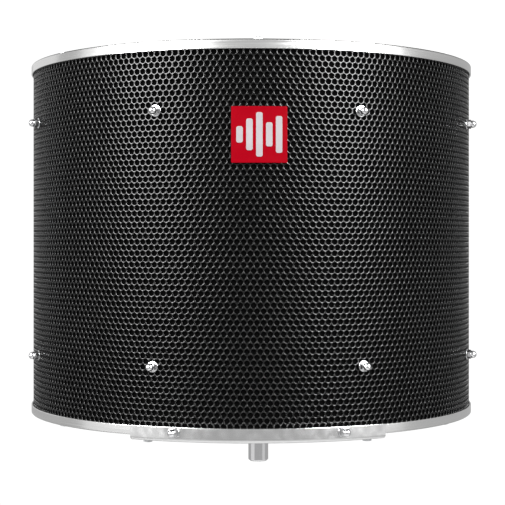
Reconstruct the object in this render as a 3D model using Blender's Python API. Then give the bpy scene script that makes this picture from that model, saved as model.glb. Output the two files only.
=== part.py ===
"""Microphone isolation shield: a half-round perforated panel on a stand spigot.

The panel is a stack of curved sheets, all concentric: perforated outer sheet, thin wool, air gap,
foil, thick wool, perforated inner sheet. Two polished trays cap the stack, and five vertical rods
pull them together. Eight radial bolts hold the layers at their spacing. A curved angle bracket
under the bottom tray carries the spigot, and the panel swivels about the spigot's axis.
Metres, +Z up. The origin is the centre of the spigot's lower face; the rounded side faces -Y.
"""

import math

import bmesh
import bpy
from mathutils import Matrix, Vector

GAP = 0.0003  # clearance between touching pieces
ARC_STEPS = 36  # facets along the half circle
ROUND_SIDES = 12  # facets round a fastener

# Panel: the driving sizes
PANEL_RADIUS = 0.203  # outside of the trays
PANEL_HEIGHT = 0.315  # over both trays
SPIGOT_DROP = 0.0202  # from the bottom tray to the spigot's lower face
ARC_Y = 0.180  # the arc's axis, behind the origin

BOTTOM = SPIGOT_DROP
TOP = BOTTOM + PANEL_HEIGHT
MIDDLE = (BOTTOM + TOP) / 2

# Trays that cap the stack
TRAY_WALL = 0.0015
TRAY_DEPTH = 0.0078
TRAY_INNER_RADIUS = 0.147
TRAY_EDGE = 0.0005  # chamfer along the rims
FLOOR_TOP = BOTTOM + TRAY_WALL
CEILING = TOP - TRAY_WALL
SHEET_LOW = FLOOR_TOP + GAP
SHEET_HIGH = CEILING - GAP

# Layers: inner and outer radius
OUTER_GRILLE = (0.2000, 0.2012)
OUTER_WOOL = (0.1925, 0.1997)
FOIL = (0.1710, 0.1714)
INNER_WOOL = (0.1503, 0.1707)
INNER_GRILLE = (0.1488, 0.1500)
WOOL_LOW = BOTTOM + 0.0063  # the wool hangs down behind the lowest row of holes in sight

# End channels between the two grilles
CHANNEL_X = (0.1504, 0.1990)
CHANNEL_WALL = 0.0015
CHANNEL_DEPTH = 0.0135
WOOL_END_GAP = CHANNEL_DEPTH + 2 * GAP  # how far the wool stays behind the channel's lips

# M4 fasteners
SHAFT_RADIUS = 0.0020
HOLE_RADIUS = 0.0023
NUT_ACROSS = 0.0070
NUT_HEIGHT = 0.0032
THIN_NUT_HEIGHT = 0.0022  # the flange nuts on the rods
DOME_HEIGHT = 0.0080
DOME_RADIUS = 0.00325
WASHER_RADIUS = 0.0045
WASHER_THICK = 0.0008
HEAD_RADIUS = 0.0040
HEAD_HEIGHT = 0.0024
THREAD_SHOWING = 0.0015  # past the middle rod's nut; the side rods end level with theirs
THREAD_IN_DOME = 0.0050

# Where the radial bolts and the vertical rods stand
LOWER_BOLT_ANGLES = (-69.75, -24.75, 24.75, 69.75)  # half a hole pitch wider than the upper ones
UPPER_BOLT_ANGLES = (-69.75, -24.0, 24.0, 69.75)
BOLT_OFFSET = 0.1021  # above and below the middle
ROD_RADIUS = 0.1900  # the side rods stand in the air gap, the middle one over the spigot
ROD_ANGLES = (-59.5, -27.9, 27.9, 59.5)

# Bracket: a curved angle under the front of the bottom tray
BRACKET_HALF_ANGLE = 29.9
BRACKET_WALL = 0.0030
BRACKET_LIP_TOP = BOTTOM + 0.0085
BRACKET_INNER_RADIUS = 0.1680
BRACKET_LIP_RADIUS = PANEL_RADIUS + GAP
BRACKET_OUTER_RADIUS = BRACKET_LIP_RADIUS + BRACKET_WALL
BRACKET_TOP = BOTTOM - GAP
BRACKET_BOTTOM = BRACKET_TOP - BRACKET_WALL
BRACKET_BEND = 0.0026
BRACKET_STEPS = 14
STUD_ANGLE = 19.0
STUD_Z = BOTTOM + 0.0045
STUD_HEAD_RADIUS = 0.0026
STUD_HEAD_HEIGHT = 0.0010

# Spigot and its nut
SPIGOT_RADIUS = 0.0080
SPIGOT_CHAMFER = 0.0012
NECK_RADIUS = 0.0040
NECK_HOLE_RADIUS = 0.0044
COLLAR_RADIUS = 0.0090
COLLAR_THICK = 0.0010
JAM_ACROSS = 0.0130
JAM_HEIGHT = 0.0040
COLLAR_TOP = BRACKET_BOTTOM - GAP
SHOULDER_TOP = COLLAR_TOP - COLLAR_THICK - GAP
JAM_LOW = FLOOR_TOP + GAP
NECK_TOP = JAM_LOW + JAM_HEIGHT + 0.0015
ROD_SEAT = SHOULDER_TOP + 0.0010

# Badge on the outer grille
BADGE_SIZE = 0.0445
BADGE_THICK = 0.0012
BADGE_Z = MIDDLE + 0.0820
BADGE_STEPS = 8


def clear_scene():
    for old in list(bpy.data.objects):
        bpy.data.objects.remove(old, do_unlink=True)


def make_material(name, colour, roughness, metallic):
    material = bpy.data.materials.new(name)
    material.use_nodes = True
    shader = material.node_tree.nodes["Principled BSDF"]
    shader.inputs["Base Color"].default_value = (*colour, 1.0)
    shader.inputs["Roughness"].default_value = roughness
    shader.inputs["Metallic"].default_value = metallic
    return material


def smooth(mesh):
    mesh.shade_smooth()
    mesh.set_sharp_from_angle(angle=math.radians(30.0))


def finish_mesh(bm, name):
    """Turn a bmesh into a smooth-shaded mesh with its faces pointing outwards."""
    bmesh.ops.recalc_face_normals(bm, faces=bm.faces)
    mesh = bpy.data.meshes.new(name)
    bm.to_mesh(mesh)
    bm.free()
    smooth(mesh)
    return mesh


def add_object(name, mesh, material=None, place=None, body=None):
    """Link an object; place is its world matrix, body the empty that carries it."""
    item = bpy.data.objects.new(name, mesh)
    if material is not None and not mesh.materials:
        mesh.materials.append(material)
    bpy.context.scene.collection.objects.link(item)
    if place is not None:
        item.matrix_world = place
    if body is not None:
        item.parent = body
    return item


def add_body(name):
    """An empty on the swivel axis that carries one moving body's pieces."""
    body = bpy.data.objects.new(name, None)
    bpy.context.scene.collection.objects.link(body)
    return body


def on_arc(radius, degrees, z):
    """The point at this radius from the arc's axis; 0 degrees is straight ahead, at -Y."""
    turn = math.radians(degrees)
    return Vector((radius * math.sin(turn), ARC_Y - radius * math.cos(turn), z))


def radial_place(radius, degrees, z):
    """A matrix whose +Z points outwards along the arc's radius and whose +Y points up."""
    turn = Matrix.Rotation(math.radians(degrees), 4, "Z")
    outwards = Matrix.Rotation(math.radians(90.0), 4, "X")
    return Matrix.Translation(on_arc(radius, degrees, z)) @ turn @ outwards


def upright_place(degrees, z):
    return Matrix.Translation(on_arc(ROD_RADIUS, degrees, z))


# Curved sheets


def swept_solid(profile, half_angle, steps):
    """Spin an upright outline of (radius, z) points about the arc's axis; return the bmesh."""
    bm = bmesh.new()
    corners = [bm.verts.new(on_arc(radius, -half_angle, z)) for radius, z in profile]
    face = bm.faces.new(corners)
    bmesh.ops.spin(
        bm,
        geom=[face] + list(face.edges) + corners,
        cent=(0.0, ARC_Y, 0.0),
        axis=(0.0, 0.0, 1.0),
        angle=math.radians(2.0 * half_angle),
        steps=steps,
    )
    return bm


def box_profile(radii, low, high):
    inner, outer = radii
    return [(inner, low), (outer, low), (outer, high), (inner, high)]


def half_angle_short_of(distance, radius):
    """The half angle at which a sheet of this radius ends this far in front of the arc's axis."""
    return 90.0 - math.degrees(math.asin(distance / radius))


def curved_sheet(name, radii, low, high, end_gap, material, body):
    half_angle = half_angle_short_of(end_gap, radii[0])
    bm = swept_solid(box_profile(radii, low, high), half_angle, ARC_STEPS)
    return add_object(name, finish_mesh(bm, name), material, body=body)


# Holes


def cylinder_mesh(name, radius, low, high, sides=ROUND_SIDES):
    bm = bmesh.new()
    bmesh.ops.create_cone(
        bm,
        cap_ends=True,
        segments=sides,
        radius1=radius,
        radius2=radius,
        depth=high - low,
        matrix=Matrix.Translation((0.0, 0.0, (low + high) / 2.0)),
    )
    return finish_mesh(bm, name)


def add_cutter(name, mesh, place):
    cutter = add_object(name, mesh, place=place)
    cutter.hide_render = True
    cutter.display_type = "WIRE"
    return cutter


def cut(item, cutters):
    for cutter in cutters:
        hole = item.modifiers.new(cutter.name, "BOOLEAN")
        hole.operation = "DIFFERENCE"
        hole.object = cutter


def bolt_places():
    """(degrees, z) of the radial bolts, bottom row first."""
    lower = [(degrees, MIDDLE - BOLT_OFFSET) for degrees in LOWER_BOLT_ANGLES]
    upper = [(degrees, MIDDLE + BOLT_OFFSET) for degrees in UPPER_BOLT_ANGLES]
    return lower + upper


def bolt_cutters():
    mesh = cylinder_mesh("bolt_hole", HOLE_RADIUS, -0.005, 0.062, sides=8)
    return [
        add_cutter(f"bolt_hole_{count}", mesh, radial_place(0.145, degrees, z))
        for count, (degrees, z) in enumerate(bolt_places(), 1)
    ]


def rod_cutters():
    """Cutters for the four side rods, then the middle one, which stands on the spigot's axis."""
    mesh = cylinder_mesh("rod_hole", HOLE_RADIUS, -0.010, PANEL_HEIGHT + 0.010, sides=8)
    places = [upright_place(degrees, BOTTOM) for degrees in ROD_ANGLES]
    places.append(Matrix.Translation((0.0, 0.0, BOTTOM)))
    return [
        add_cutter(f"rod_hole_{count}", mesh, place) for count, place in enumerate(places, 1)
    ]


# Trays


def tray_block(radii, low, high, end_wall):
    """A curved block whose two ends run straight back by end_wall."""
    bm = swept_solid(box_profile(radii, low, high), 90.0, ARC_STEPS)
    if end_wall:
        ends = [face for face in bm.faces if abs(face.calc_center_median().y - ARC_Y) < GAP]
        for face in ends:
            moved = bmesh.ops.extrude_discrete_faces(bm, faces=[face])["faces"][0]
            bmesh.ops.translate(bm, verts=moved.verts, vec=(0.0, end_wall, 0.0))
    return bm


def tray(name, base, inwards, material, body):
    """A curved tray whose floor is at z = base; inwards is +1 or -1, the way its walls rise."""
    rim = base + inwards * TRAY_DEPTH
    floor = base + inwards * TRAY_WALL
    past_rim = rim + inwards * 0.002
    outside = (TRAY_INNER_RADIUS, PANEL_RADIUS)
    inside = (TRAY_INNER_RADIUS + TRAY_WALL, PANEL_RADIUS - TRAY_WALL)
    bm = tray_block(outside, min(base, rim), max(base, rim), TRAY_WALL)
    item = add_object(name, finish_mesh(bm, name), material, body=body)
    edge = item.modifiers.new("rim_chamfer", "BEVEL")
    edge.width = TRAY_EDGE
    edge.segments = 1
    edge.limit_method = "ANGLE"
    edge.angle_limit = math.radians(60.0)
    hollow = tray_block(inside, min(floor, past_rim), max(floor, past_rim), 0.0)
    cut(item, [add_cutter(f"{name}_hollow", finish_mesh(hollow, f"{name}_hollow"), None)])
    return item


# End channels


def end_channel(name, side, material, body):
    """A U-shaped strip standing between the grilles, open towards the wool; side is -1 or +1."""
    near, far = CHANNEL_X
    back = ARC_Y - GAP
    web = back - CHANNEL_WALL
    lip = back - CHANNEL_DEPTH
    outline = [
        (near, back),
        (near, lip),
        (near + CHANNEL_WALL, lip),
        (near + CHANNEL_WALL, web),
        (far - CHANNEL_WALL, web),
        (far - CHANNEL_WALL, lip),
        (far, lip),
        (far, back),
    ]
    bm = bmesh.new()
    corners = [bm.verts.new((side * x, y, SHEET_LOW)) for x, y in outline]
    face = bm.faces.new(corners)
    raised = bmesh.ops.extrude_face_region(bm, geom=[face])["geom"]
    upper = [element for element in raised if isinstance(element, bmesh.types.BMVert)]
    bmesh.ops.translate(bm, verts=upper, vec=(0.0, 0.0, SHEET_HIGH - SHEET_LOW))
    return add_object(name, finish_mesh(bm, name), material, body=body)


# Turned and hexagonal pieces: rings of points stacked along the axis


def circle_ring(radius, z, sides=ROUND_SIDES):
    turns = [2.0 * math.pi * step / sides for step in range(sides)]
    return [(radius * math.cos(turn), radius * math.sin(turn), z) for turn in turns]


def hexagon_ring(across, z):
    """A hexagon given as twelve points: its corners and the middles of its sides."""
    reach = across / 2.0
    corner = reach / math.cos(math.radians(30.0))
    turns = [math.radians(30.0 * step) for step in range(12)]
    reaches = [corner if step % 2 == 0 else reach for step in range(12)]
    return [
        (reach * math.cos(turn), reach * math.sin(turn), z) for reach, turn in zip(reaches, turns)
    ]


def ring_solid(rings, closed_loop=False):
    """Join rings of equal point count; cap the two ends, or join the last ring to the first."""
    bm = bmesh.new()
    loops = [[bm.verts.new(point) for point in ring] for ring in rings]
    pairs = list(zip(loops, loops[1:]))
    if closed_loop:
        pairs.append((loops[-1], loops[0]))
    for lower, upper in pairs:
        for index in range(len(lower)):
            after = (index + 1) % len(lower)
            bm.faces.new((lower[index], lower[after], upper[after], upper[index]))
    if not closed_loop:
        bm.faces.new(loops[0])
        bm.faces.new(loops[-1])
    return bm


def washer_mesh(name, radius, hole, thick, sides=ROUND_SIDES):
    rings = [
        circle_ring(hole, 0.0, sides),
        circle_ring(radius, 0.0, sides),
        circle_ring(radius, thick, sides),
        circle_ring(hole, thick, sides),
    ]
    return finish_mesh(ring_solid(rings, closed_loop=True), name)


def dome_nut_mesh():
    """A cap nut: hexagon below, dome above, and a blind threaded hole from its seat."""
    shoulder = DOME_HEIGHT - DOME_RADIUS
    bore_depth = THREAD_IN_DOME + 4.0 * GAP
    rings = [
        circle_ring(HOLE_RADIUS, bore_depth),
        circle_ring(HOLE_RADIUS, 0.0),
        hexagon_ring(NUT_ACROSS, 0.0),
        hexagon_ring(NUT_ACROSS, NUT_HEIGHT),
        circle_ring(DOME_RADIUS, NUT_HEIGHT),
    ]
    for lift in (0.0, 40.0, 70.0):
        turn = math.radians(lift)
        rings.append(
            circle_ring(DOME_RADIUS * math.cos(turn), shoulder + DOME_RADIUS * math.sin(turn))
        )
    return finish_mesh(ring_solid(rings), "dome_nut")


def flange_nut_mesh():
    """A hexagon nut with a washer-like flange and a through hole."""
    top = WASHER_THICK + THIN_NUT_HEIGHT
    rings = [
        circle_ring(HOLE_RADIUS, 0.0),
        circle_ring(WASHER_RADIUS, 0.0),
        circle_ring(WASHER_RADIUS, WASHER_THICK),
        hexagon_ring(NUT_ACROSS, WASHER_THICK),
        hexagon_ring(NUT_ACROSS, top),
        circle_ring(HOLE_RADIUS, top),
    ]
    return finish_mesh(ring_solid(rings, closed_loop=True), "flange_nut")


def plain_nut_mesh(across, hole, height):
    rings = [
        circle_ring(hole, 0.0),
        hexagon_ring(across, 0.0),
        hexagon_ring(across, height),
        circle_ring(hole, height),
    ]
    return finish_mesh(ring_solid(rings, closed_loop=True), "plain_nut")


def headed_shaft_mesh(name, head_radius, head_height, length):
    """A shaft from z = 0 to length with a head below z = 0."""
    rings = [
        circle_ring(head_radius * 0.7, -head_height),
        circle_ring(head_radius, -head_height * 0.6),
        circle_ring(head_radius, 0.0),
        circle_ring(SHAFT_RADIUS, 0.0),
        circle_ring(SHAFT_RADIUS, length),
    ]
    return finish_mesh(ring_solid(rings), name)


# Sub-assemblies


def build_layers(shield, materials, holes):
    """The concentric sheets, from the rounded side to the hollow side."""
    full = (SHEET_LOW, SHEET_HIGH)
    wool = (WOOL_LOW, SHEET_HIGH)
    layers = [
        ("outer_grille", OUTER_GRILLE, full, GAP, "black_coat"),
        ("outer_wool", OUTER_WOOL, wool, WOOL_END_GAP, "wool"),
        ("foil_barrier", FOIL, full, WOOL_END_GAP, "foil"),
        ("inner_wool", INNER_WOOL, wool, WOOL_END_GAP, "wool"),
        ("inner_grille", INNER_GRILLE, full, GAP, "black_coat"),
    ]
    built = {}
    for name, radii, (low, high), end_gap, finish in layers:
        built[name] = curved_sheet(name, radii, low, high, end_gap, materials[finish], shield)
        cut(built[name], holes)
    return built


def build_ends(shield, materials):
    end_channel("left_end_channel", -1.0, materials["black_coat"], shield)
    end_channel("right_end_channel", 1.0, materials["black_coat"], shield)


def build_trays(shield, materials, rod_holes, neck_hole):
    top = tray("top_cap", TOP, -1.0, materials["polished"], shield)
    bottom = tray("bottom_cap", BOTTOM, 1.0, materials["polished"], shield)
    cut(top, rod_holes)
    cut(bottom, rod_holes[:-1] + [neck_hole])
    return bottom


def bracket_profile():
    """The angle's outline: a plate under the tray, a bend, and a lip up the tray's front."""
    bend = BRACKET_BEND
    centre = (BRACKET_OUTER_RADIUS - bend, BRACKET_BOTTOM + bend)
    turns = [math.radians(turn) for turn in (-90.0, -45.0, 0.0)]
    corner = [
        (centre[0] + bend * math.cos(turn), centre[1] + bend * math.sin(turn)) for turn in turns
    ]
    return [
        (BRACKET_INNER_RADIUS, BRACKET_BOTTOM),
        *corner,
        (BRACKET_OUTER_RADIUS, BRACKET_LIP_TOP),
        (BRACKET_LIP_RADIUS, BRACKET_LIP_TOP),
        (BRACKET_LIP_RADIUS, BRACKET_TOP),
        (BRACKET_INNER_RADIUS, BRACKET_TOP),
    ]


def build_bracket(shield, materials):
    bm = swept_solid(bracket_profile(), BRACKET_HALF_ANGLE, BRACKET_STEPS)
    mesh = finish_mesh(bm, "stand_bracket")
    return add_object("stand_bracket", mesh, materials["chrome"], body=shield)


def build_badge(shield, materials):
    inner = OUTER_GRILLE[1] + GAP
    radii = (inner, inner + BADGE_THICK)
    half_angle = math.degrees(BADGE_SIZE / 2.0 / radii[1])
    profile = box_profile(radii, BADGE_Z - BADGE_SIZE / 2.0, BADGE_Z + BADGE_SIZE / 2.0)
    mesh = finish_mesh(swept_solid(profile, half_angle, BADGE_STEPS), "badge")
    add_object("badge", mesh, materials["badge_red"], body=shield)


def build_cross_bolts(shield, materials):
    """Radial bolts: head on the hollow side, washer and dome nut on the rounded side."""
    seat = INNER_GRILLE[0] - GAP
    washer_seat = OUTER_GRILLE[1] + GAP
    nut_seat = washer_seat + WASHER_THICK + GAP
    length = nut_seat + THREAD_IN_DOME - seat
    bolt = headed_shaft_mesh("cross_bolt", HEAD_RADIUS, HEAD_HEIGHT, length)
    washer = washer_mesh("dome_washer", WASHER_RADIUS, HOLE_RADIUS, WASHER_THICK)
    nut = dome_nut_mesh()
    for count, (degrees, z) in enumerate(bolt_places(), 1):
        pieces = [
            ("cross_bolt", bolt, seat, "steel"),
            ("dome_washer", washer, washer_seat, "chrome"),
            ("dome_nut", nut, nut_seat, "chrome"),
        ]
        for name, mesh, radius, finish in pieces:
            place = radial_place(radius, degrees, z)
            add_object(f"{name}_{count}", mesh, materials[finish], place, shield)
    return washer, nut


def build_bracket_fasteners(shield, materials, washer, nut):
    """Studs pressed into the bottom tray's front wall, with the bracket's lip nutted on them."""
    seat = PANEL_RADIUS - TRAY_WALL - GAP
    washer_seat = BRACKET_OUTER_RADIUS + GAP
    nut_seat = washer_seat + WASHER_THICK + GAP
    length = nut_seat + THREAD_IN_DOME - seat
    stud = headed_shaft_mesh("bracket_stud", STUD_HEAD_RADIUS, STUD_HEAD_HEIGHT, length)
    for side, degrees in (("left", -STUD_ANGLE), ("right", STUD_ANGLE)):
        pieces = [
            ("stud", stud, seat, "steel"),
            ("washer", washer, washer_seat, "chrome"),
            ("dome_nut", nut, nut_seat, "chrome"),
        ]
        for name, mesh, radius, finish in pieces:
            place = radial_place(radius, degrees, STUD_Z)
            add_object(f"{side}_bracket_{name}", mesh, materials[finish], place, shield)


def build_tie_rods(shield, materials, nut):
    """Vertical threaded rods in the air gap with a flange nut at each end."""
    flip = Matrix.Rotation(math.pi, 4, "X")
    nut_reach = GAP + WASHER_THICK + THIN_NUT_HEIGHT
    for count, degrees in enumerate(ROD_ANGLES, 1):
        under = BRACKET_BOTTOM if abs(degrees) < BRACKET_HALF_ANGLE else BOTTOM
        low = under - nut_reach
        high = TOP + nut_reach
        rod = cylinder_mesh("tie_rod", SHAFT_RADIUS, low, high)
        add_object(f"tie_rod_{count}", rod, materials["steel"], upright_place(degrees, 0.0), shield)
        upper = upright_place(degrees, TOP + GAP)
        lower = upright_place(degrees, under - GAP) @ flip
        add_object(f"tie_rod_top_nut_{count}", nut, materials["steel"], upper, shield)
        add_object(f"tie_rod_bottom_nut_{count}", nut, materials["steel"], lower, shield)


def spigot_mesh():
    """The stand post: a chamfered cylinder, a thinner neck, and a threaded hole in its top."""
    sides = 2 * ROUND_SIDES
    rings = [
        circle_ring(SPIGOT_RADIUS - SPIGOT_CHAMFER, 0.0, sides),
        circle_ring(SPIGOT_RADIUS, SPIGOT_CHAMFER, sides),
        circle_ring(SPIGOT_RADIUS, SHOULDER_TOP, sides),
        circle_ring(NECK_RADIUS, SHOULDER_TOP, sides),
        circle_ring(NECK_RADIUS, NECK_TOP, sides),
        circle_ring(HOLE_RADIUS, NECK_TOP, sides),
        circle_ring(HOLE_RADIUS, ROD_SEAT, sides),
    ]
    return finish_mesh(ring_solid(rings), "spigot")


def build_mount(mount, materials, flange_nut):
    """The spigot, its collar and nut, and the middle rod that screws into it."""
    add_object("spigot", spigot_mesh(), materials["chrome"], body=mount)
    collar = washer_mesh(
        "spigot_washer", COLLAR_RADIUS, NECK_HOLE_RADIUS, COLLAR_THICK, 2 * ROUND_SIDES
    )
    collar_place = Matrix.Translation((0.0, 0.0, COLLAR_TOP - COLLAR_THICK))
    add_object("spigot_washer", collar, materials["chrome"], collar_place, mount)
    jam_nut = plain_nut_mesh(JAM_ACROSS, NECK_HOLE_RADIUS, JAM_HEIGHT)
    jam_place = Matrix.Translation((0.0, 0.0, JAM_LOW))
    add_object("spigot_jam_nut", jam_nut, materials["steel"], jam_place, mount)
    rod_top = TOP + GAP + WASHER_THICK + THIN_NUT_HEIGHT + THREAD_SHOWING
    rod = cylinder_mesh("centre_rod", SHAFT_RADIUS, ROD_SEAT + GAP, rod_top)
    add_object("centre_rod", rod, materials["steel"], body=mount)
    nut_place = Matrix.Translation((0.0, 0.0, TOP + GAP))
    add_object("centre_rod_nut", flange_nut, materials["steel"], nut_place, mount)


def stud_cutters(name, radius, near, far):
    mesh = cylinder_mesh(name, radius, near, far, sides=8)
    return [
        add_cutter(f"{name}_{side}", mesh, radial_place(0.0, degrees, STUD_Z))
        for side, degrees in (("left", -STUD_ANGLE), ("right", STUD_ANGLE))
    ]


def build_shield():
    clear_scene()
    materials = {
        "black_coat": make_material("black_coat", (0.012, 0.012, 0.013), 0.45, 0.0),
        "polished": make_material("polished_rim", (0.86, 0.87, 0.88), 0.16, 1.0),
        "chrome": make_material("chrome", (0.80, 0.81, 0.83), 0.08, 1.0),
        "steel": make_material("zinc_steel", (0.62, 0.63, 0.64), 0.30, 1.0),
        "wool": make_material("wool", (0.020, 0.020, 0.021), 0.95, 0.0),
        "foil": make_material("foil", (0.82, 0.82, 0.83), 0.22, 1.0),
        "badge_red": make_material("badge_red", (0.55, 0.012, 0.018), 0.30, 0.0),
    }
    mount = add_body("mount_body")
    shield = add_body("shield_body")

    layers = build_layers(shield, materials, bolt_cutters())
    build_ends(shield, materials)
    rod_holes = rod_cutters()
    neck = cylinder_mesh("neck_hole", NECK_HOLE_RADIUS, BRACKET_BOTTOM - 0.002, FLOOR_TOP + 0.002)
    neck_hole = add_cutter("neck_hole", neck, Matrix.Identity(4))
    bottom = build_trays(shield, materials, rod_holes, neck_hole)
    bracket = build_bracket(shield, materials)
    build_badge(shield, materials)

    stud_holes = stud_cutters("stud_hole", HOLE_RADIUS, PANEL_RADIUS - 0.002, PANEL_RADIUS + 0.004)
    head_holes = stud_cutters("stud_head_hole", STUD_HEAD_RADIUS + GAP, 0.198, PANEL_RADIUS - 0.001)
    cut(bottom, stud_holes)
    cut(bracket, stud_holes + rod_holes[1:3] + [neck_hole])
    cut(layers["outer_grille"], head_holes)

    washer, dome_nut = build_cross_bolts(shield, materials)
    build_bracket_fasteners(shield, materials, washer, dome_nut)
    flange_nut = flange_nut_mesh()
    build_tie_rods(shield, materials, flange_nut)
    build_mount(mount, materials, flange_nut)


build_shield()
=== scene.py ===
import math

import bmesh
import bpy
from mathutils import Matrix, Vector


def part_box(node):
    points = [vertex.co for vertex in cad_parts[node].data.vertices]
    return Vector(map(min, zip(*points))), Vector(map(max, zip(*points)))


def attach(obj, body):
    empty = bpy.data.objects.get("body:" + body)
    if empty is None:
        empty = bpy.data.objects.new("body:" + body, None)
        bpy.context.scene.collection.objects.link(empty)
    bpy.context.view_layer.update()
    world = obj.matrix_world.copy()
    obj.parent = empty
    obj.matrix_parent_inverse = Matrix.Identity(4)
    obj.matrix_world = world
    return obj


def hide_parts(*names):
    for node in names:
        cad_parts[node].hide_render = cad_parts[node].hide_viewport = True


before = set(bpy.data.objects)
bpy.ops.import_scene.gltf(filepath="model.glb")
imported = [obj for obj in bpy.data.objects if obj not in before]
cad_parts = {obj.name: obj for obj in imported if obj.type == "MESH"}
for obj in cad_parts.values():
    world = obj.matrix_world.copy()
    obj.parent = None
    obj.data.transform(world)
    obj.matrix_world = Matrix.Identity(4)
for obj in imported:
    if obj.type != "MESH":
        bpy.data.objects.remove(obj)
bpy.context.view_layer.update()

# Camera. It stands just below the level of the panel's middle, straight out from the rounded side
# and a touch to the left, and looks level towards the axis of the panel's half circle.
panel_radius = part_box("top_cap")[1].x
panel_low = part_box("bottom_cap")[0].z
panel_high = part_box("top_cap")[1].z
panel_middle = (panel_low + panel_high) / 2
axis_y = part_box("top_cap")[0].y + panel_radius
arc_axis = Vector((0.0, axis_y, panel_middle))

eye_distance = 1.26
eye_drop = 0.0034
eye_turn = math.radians(1.8)
eye = arc_axis - eye_distance * Vector((math.sin(eye_turn), math.cos(eye_turn), 0.0))
eye.z -= eye_drop
bpy.ops.object.camera_add(location=eye, rotation=(math.radians(90.0), 0.0, -eye_turn))
camera = bpy.context.object
camera.data.lens = 95.94
camera.data.shift_x = 0.0025
camera.data.shift_y = -0.0187
camera.data.clip_start = 0.01
bpy.context.scene.camera = camera

# Studio: a white sweep behind, a floor below with a paler disc over it as a painted pool of light,
# and soft boxes.
# The strong box on each side only puts shine on the round sheet, and the top fill only lights matt
# surfaces.
scene = bpy.context.scene
scene.view_settings.view_transform = "Standard"

world = bpy.data.worlds.new("studio")
scene.world = world
world.use_nodes = True
sky = world.node_tree.nodes
room = sky["Background"]
room.inputs["Color"].default_value = (1.0, 1.0, 1.0, 1.0)
room.inputs["Strength"].default_value = 0.42
backdrop = sky.new("ShaderNodeBackground")
backdrop.inputs["Color"].default_value = (1.0, 1.0, 1.0, 1.0)
backdrop.inputs["Strength"].default_value = 1.05
seen = sky.new("ShaderNodeLightPath")
either = sky.new("ShaderNodeMixShader")
wire = world.node_tree.links
wire.new(seen.outputs["Is Camera Ray"], either.inputs[0])
wire.new(room.outputs[0], either.inputs[1])
wire.new(backdrop.outputs[0], either.inputs[2])
wire.new(either.outputs[0], sky["World Output"].inputs["Surface"])


def soft_box(name, turn, lift, distance, width, height, glow):
    """An area light this far round from the camera's side, aimed at the panel's middle."""
    side = math.radians(turn)
    rise = math.radians(lift)
    level = math.cos(rise)
    way = Vector((math.sin(side) * level, -math.cos(side) * level, math.sin(rise)))
    bpy.ops.object.light_add(type="AREA", location=arc_axis + distance * way)
    lamp = bpy.context.object
    lamp.name = name
    lamp.rotation_euler = way.to_track_quat("Z", "Y").to_euler()
    lamp.data.shape = "RECTANGLE"
    lamp.data.size = width
    lamp.data.size_y = height
    lamp.data.energy = glow * math.pi * width * height
    return lamp


left_box = soft_box("left_box", -51.0, 22.0, 2.2, 1.4, 1.2, 33.0)
right_box = soft_box("right_box", 43.0, 22.0, 2.2, 1.1, 1.2, 42.0)
top_fill = soft_box("top_fill", 0.0, 50.0, 2.2, 1.5, 1.5, 5.0)
left_box.visible_diffuse = False
right_box.visible_diffuse = False
top_fill.visible_glossy = False
soft_box("left_sheet", -43.0, 12.0, 2.4, 1.9, 1.2, 0.6)
soft_box("right_sheet", 50.0, 12.0, 2.4, 2.0, 1.2, 0.6)
soft_box("left_flank", -68.0, 6.0, 2.6, 2.4, 2.2, 0.32)
soft_box("right_flank", 60.0, 2.0, 2.6, 1.6, 2.0, 0.22)
soft_box("left_rear", -135.0, 15.0, 2.6, 2.0, 1.6, 0.3)


def stage_disc(name, radius, z, shade):
    """A level disc of matt paint under the panel."""
    bpy.ops.mesh.primitive_circle_add(
        vertices=96, radius=radius, fill_type="NGON", location=(0.0, 0.0, z)
    )
    disc = bpy.context.object
    disc.name = name
    paint = bpy.data.materials.new(f"{name}_paint")
    paint.use_nodes = True
    shader = paint.node_tree.nodes["Principled BSDF"]
    shader.inputs["Base Color"].default_value = (shade, shade, shade, 1.0)
    shader.inputs["Roughness"].default_value = 0.8
    disc.data.materials.append(paint)


stage_disc("floor", 2.0, -0.50, 0.45)
# A paler disc under the panel: a painted pool of light beneath it.
stage_disc("light_pool_disc", 0.4, -0.30, 0.85)

# Perforated sheets: 1.2 mm steel, punched all over with 4.4 mm holes in staggered rows, bent to a
# half circle and powder coated. One hexagonal cell is drawn, repeated flat, given its plain
# margins, thickness and soft rims, and bent. Each sheet is made as strips, for smaller meshes.
outer_sheet_radius = 0.2012
inner_sheet_radius = 0.1500
sheet_thick = 0.0012
hole_radius = 0.0022
hole_pitch = 0.005255
rim_ease = 0.00018
row_step = hole_pitch * math.sqrt(3.0) / 2
row_pairs = 34
first_row = panel_middle - 0.1528
last_row = first_row + (2 * row_pairs - 1) * row_step
hair = 0.00001


def only(piece):
    """Leave this piece alone selected and active."""
    bpy.ops.object.select_all(action="DESELECT")
    piece.select_set(True)
    bpy.context.view_layer.objects.active = piece


def edit(piece):
    only(piece)
    bpy.ops.object.mode_set(mode="EDIT")


def done():
    bpy.ops.object.mode_set(mode="OBJECT")
    return bpy.context.object


def added(name):
    """Name the primitive just added and move its place into its mesh."""
    piece = bpy.context.object
    piece.name = name
    piece.data.name = name
    bpy.ops.object.transform_apply(location=True, rotation=True, scale=True)
    return piece


def sized(name, *size):
    """Name the primitive just added, give it this size, and move its place into its mesh."""
    bpy.context.object.scale = size
    return added(name)


def modify(piece, kind, **values):
    """Add a modifier and apply it."""
    only(piece)
    modifier = piece.modifiers.new(kind.lower(), kind)
    for key, value in values.items():
        setattr(modifier, key, value)
    bpy.ops.object.modifier_apply(modifier=modifier.name)


def pick_verts(piece, wanted):
    bpy.ops.mesh.select_mode(type="VERT")
    bpy.ops.mesh.select_all(action="DESELECT")
    mesh = bmesh.from_edit_mesh(piece.data)
    for vert in mesh.verts:
        vert.select = wanted(vert.co)
    mesh.select_flush_mode()
    bmesh.update_edit_mesh(piece.data)


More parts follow.
